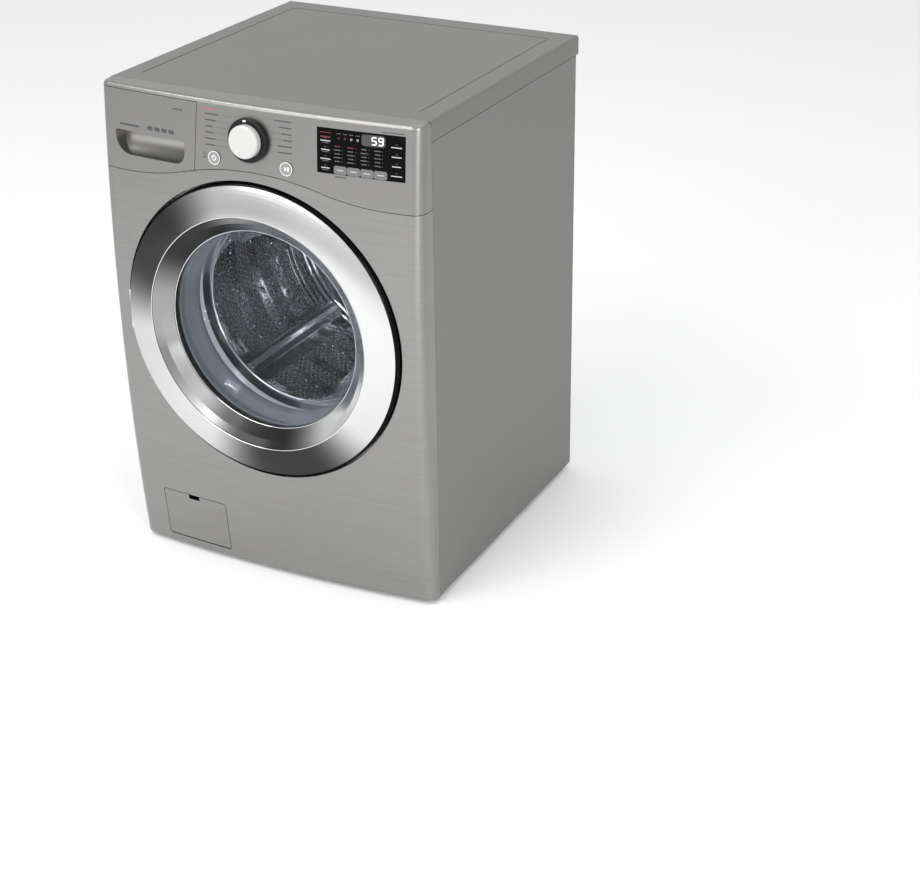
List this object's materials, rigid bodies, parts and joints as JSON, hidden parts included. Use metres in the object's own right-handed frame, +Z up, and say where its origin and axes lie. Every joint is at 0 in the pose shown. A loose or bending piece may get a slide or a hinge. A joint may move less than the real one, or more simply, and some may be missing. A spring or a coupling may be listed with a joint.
{
  "type": "washing machine",
  "caption": "Front load washing machine with bowed steel front, round bowl door, programme knob, touch display, detergent drawer and drum on a sprung tub",
  "frame": {"origin": "on the floor below the middle of the overall box, with the levelling feet screwed in", "axes": "+Z up, front faces -Y, +X to the right seen from the front"},
  "size_m": [0.686, 0.7679, 0.983],
  "materials": {
    "graphite_steel": "fine horizontal brush, satin",
    "graphite_paint": "smooth satin",
    "fascia": "satin metallic",
    "side_paint": "satin",
    "galvanised": "plain zinc coat",
    "bright_chrome": "mirror",
    "black_gloss": "gloss",
    "black_plastic": "fine texture",
    "white_cap": "satin",
    "glass": "clear",
    "grey_rubber": "soft",
    "black_rubber": "soft",
    "tub_plastic": "moulded",
    "drum_steel": "polished",
    "drum_casting": "as cast",
    "lifter_plastic": "satin",
    "concrete": "rough cast",
    "white_plastic": "moulded",
    "blue_plastic": "moulded",
    "motor_steel": "laminated",
    "zinc_steel": "zinc plated",
    "board_green": "lacquered"
  },
  "bodies": {
    "cabinet": {"base_frame": "galvanised", "side_panel_left": "side_paint", "side_panel_right": "side_paint", "rear_panel": "galvanised", "rear_cover": "galvanised", "top_panel": "graphite_paint", "cabinet_braces": "galvanised", "front_panel": "graphite_steel", "hinge_bracket": "zinc_steel", "door_lock": "black_plastic", "cabinet_fasteners": "zinc_steel", "control_panel": "fascia", "display_window": "black_gloss", "control_board": "board_green", "dispenser_housing": "white_plastic", "bellows": "grey_rubber", "damper_cylinders": "black_plastic", "suspension_springs": "zinc_steel", "drain_pump": "white_plastic", "sump_hose": "black_rubber", "drain_hose": "black_rubber", "inlet_hoses": "black_rubber", "inlet_valves": "white_plastic", "fill_hose": "black_rubber", "rear_fittings": "black_plastic"},
    "drawer": {"drawer_front": "fascia", "dispenser_drawer": "white_plastic", "siphon_caps": "blue_plastic"},
    "knob": {"knob_skirt": "black_gloss", "knob_cap": "white_cap"},
    "power_key": {"power_button": "white_cap"},
    "start_key": {"start_button": "white_cap"},
    "door": {"door_ring": "bright_chrome", "door_bezel": "bright_chrome", "door_rim": "black_gloss", "door_frame": "black_plastic", "door_glass": "glass", "door_hinge_arm": "zinc_steel"},
    "hook": {"door_hook": "zinc_steel"},
    "tub": {"tub_front": "tub_plastic", "tub_rear": "tub_plastic", "counterweights": "concrete", "bearings": "zinc_steel", "stator": "motor_steel", "damper_rods": "zinc_steel", "heater": "zinc_steel", "bellows_clamps": "zinc_steel"},
    "drum": {"drum_shell": "drum_steel", "drum_front": "drum_steel", "drum_back": "drum_steel", "drum_spider": "drum_casting", "drum_lifters": "lifter_plastic", "rotor": "motor_steel"},
    "impeller": {"pump_impeller": "white_plastic"},
    "filter": {"filter_cap": "blue_plastic"},
    "filter_flap": {"filter_door": "graphite_steel"},
    "foot_fl": {"foot_front_left": "black_rubber"},
    "foot_rl": {"foot_rear_left": "black_rubber"},
    "foot_fr": {"foot_front_right": "black_rubber"},
    "foot_rr": {"foot_rear_right": "black_rubber"}
  },
  "joints": [
    {"name": "door_swing", "type": "hinge", "parent": "cabinet", "child": "door", "pos_m": [-0.2935, -0.36, 0.5383], "axis": [0, 0, -1], "range_deg": [0, 122]},
    {"name": "hook_tilt", "type": "hinge", "parent": "door", "child": "hook", "pos_m": [0.255, -0.346, 0.5383], "axis": [0, 0, 1], "range_deg": [0, 10], "stiffness_Nm_per_rad": 0.8},
    {"name": "drawer_slide", "type": "slide", "parent": "cabinet", "child": "drawer", "axis": [0, -1, 0], "range_m": [0, 0.22]},
    {"name": "knob_turn", "type": "hinge", "parent": "cabinet", "child": "knob", "pos_m": [0, -0.35692, 0.9195], "axis": [0, -0.9975, 0.0712], "continuous": true},
    {"name": "power_press", "type": "slide", "parent": "cabinet", "child": "power_key", "axis": [0.0255, 0.9977, -0.0627], "range_m": [0, 0.0015], "stiffness_N_per_m": 800},
    {"name": "start_press", "type": "slide", "parent": "cabinet", "child": "start_key", "axis": [-0.0255, 0.9977, -0.0627], "range_m": [0, 0.0015], "stiffness_N_per_m": 800},
    {"name": "tub_float", "type": "slide", "parent": "cabinet", "child": "tub", "axis": [0, 0, 1], "range_m": [-0.008, 0.008], "stiffness_N_per_m": 60000, "springref_m": 0.00605, "deforming": ["suspension_springs", "fill_hose", "sump_hose", "bellows"]},
    {"name": "drum_spin", "type": "hinge", "parent": "tub", "child": "drum", "pos_m": [0, 0, 0.5383], "axis": [0, 1, 0], "continuous": true},
    {"name": "impeller_spin", "type": "hinge", "parent": "cabinet", "child": "impeller", "pos_m": [-0.195, -0.19, 0.08], "axis": [0, 1, 0], "continuous": true},
    {"name": "filter_turn", "type": "hinge", "parent": "cabinet", "child": "filter", "pos_m": [-0.195, -0.303, 0.08], "axis": [0, -1, 0], "range_deg": [0, 120]},
    {"name": "flap_fold", "type": "hinge", "parent": "cabinet", "child": "filter_flap", "pos_m": [-0.195, -0.33061, 0.033], "axis": [0.9979, -0.0645, 0], "range_deg": [0, 85]},
    {"name": "front_left_foot_turn", "type": "hinge", "parent": "cabinet", "child": "foot_fl", "pos_m": [-0.295, -0.262, 0], "axis": [0, 0, 1], "continuous": true},
    {"name": "rear_left_foot_turn", "type": "hinge", "parent": "cabinet", "child": "foot_rl", "pos_m": [-0.295, 0.3, 0], "axis": [0, 0, 1], "continuous": true},
    {"name": "front_right_foot_turn", "type": "hinge", "parent": "cabinet", "child": "foot_fr", "pos_m": [0.295, -0.262, 0], "axis": [0, 0, 1], "continuous": true},
    {"name": "rear_right_foot_turn", "type": "hinge", "parent": "cabinet", "child": "foot_rr", "pos_m": [0.295, 0.3, 0], "axis": [0, 0, 1], "continuous": true}
  ]
}
